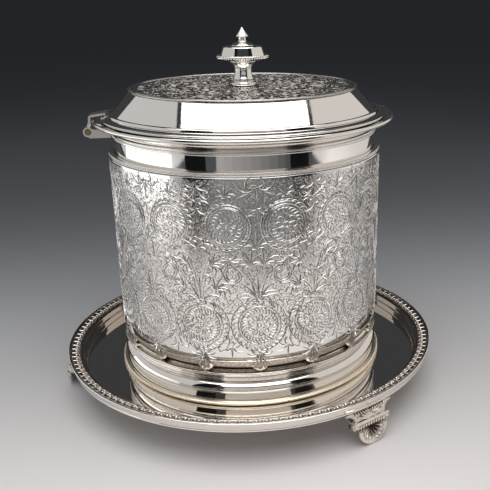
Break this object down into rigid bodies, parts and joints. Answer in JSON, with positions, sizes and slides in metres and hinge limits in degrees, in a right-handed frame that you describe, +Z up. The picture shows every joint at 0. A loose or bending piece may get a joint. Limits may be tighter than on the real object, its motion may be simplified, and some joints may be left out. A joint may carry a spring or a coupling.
{
  "type": "biscuit barrel",
  "caption": "Round silver-plated biscuit barrel with a hinged stepped lid, turned finial and chased drum, tied to a round tray on cast shell feet.",
  "frame": {"origin": "centre of the tray and barrel at table level, where the feet rest", "axes": "+Z up along the barrel's axis; the hinge and one foot are at -X; +Y is to the back in the view from the front"},
  "size_m": [0.2335, 0.23, 0.2178],
  "materials": {
    "bright_plate": "polished silver plate with fine wear",
    "chased_plate": "chased and engraved silver plate, tarnish in the recesses",
    "cast_plate": "cast and milled silver plate, tarnish in the recesses",
    "dull_plate": "dull plate on hidden surfaces",
    "hinge_brass": "bare brass pin ends"
  },
  "bodies": {
    "barrel": {"tray": "bright_plate", "tray_border": "cast_plate", "foot_left": "cast_plate", "foot_front_right": "cast_plate", "foot_rear_right": "cast_plate", "base_skirt": "bright_plate", "base_wire": "cast_plate", "girdle_torus": "bright_plate", "girdle_reeds": "bright_plate", "barrel_wall": "chased_plate", "barrel_floor": "dull_plate", "neck": "bright_plate", "neck_lower_wire": "cast_plate", "neck_upper_wire": "cast_plate", "rim_wire": "cast_plate", "hinge_bracket": "bright_plate", "hinge_pin": "hinge_brass", "tie_stud": "dull_plate", "tie_washer": "dull_plate", "tie_nut": "dull_plate"},
    "lid": {"lid_shell": "bright_plate", "lid_edge_wire": "bright_plate", "lid_slope_ring": "bright_plate", "lid_top_wire": "cast_plate", "lid_top_plate": "chased_plate", "lid_bezel": "dull_plate", "lid_hinge_leaf": "bright_plate", "finial_base": "bright_plate", "finial_stem": "bright_plate", "finial_saucer": "bright_plate", "finial_drum": "bright_plate", "finial_tip": "bright_plate", "finial_stud": "dull_plate", "lid_washer": "dull_plate", "lid_nut": "dull_plate"}
  },
  "joints": [
    {"name": "lid_hinge", "type": "hinge", "parent": "barrel", "child": "lid", "pos_m": [-0.0905, 0, 0.1612], "axis": [0, -1, 0], "range_deg": [0, 95]}
  ]
}
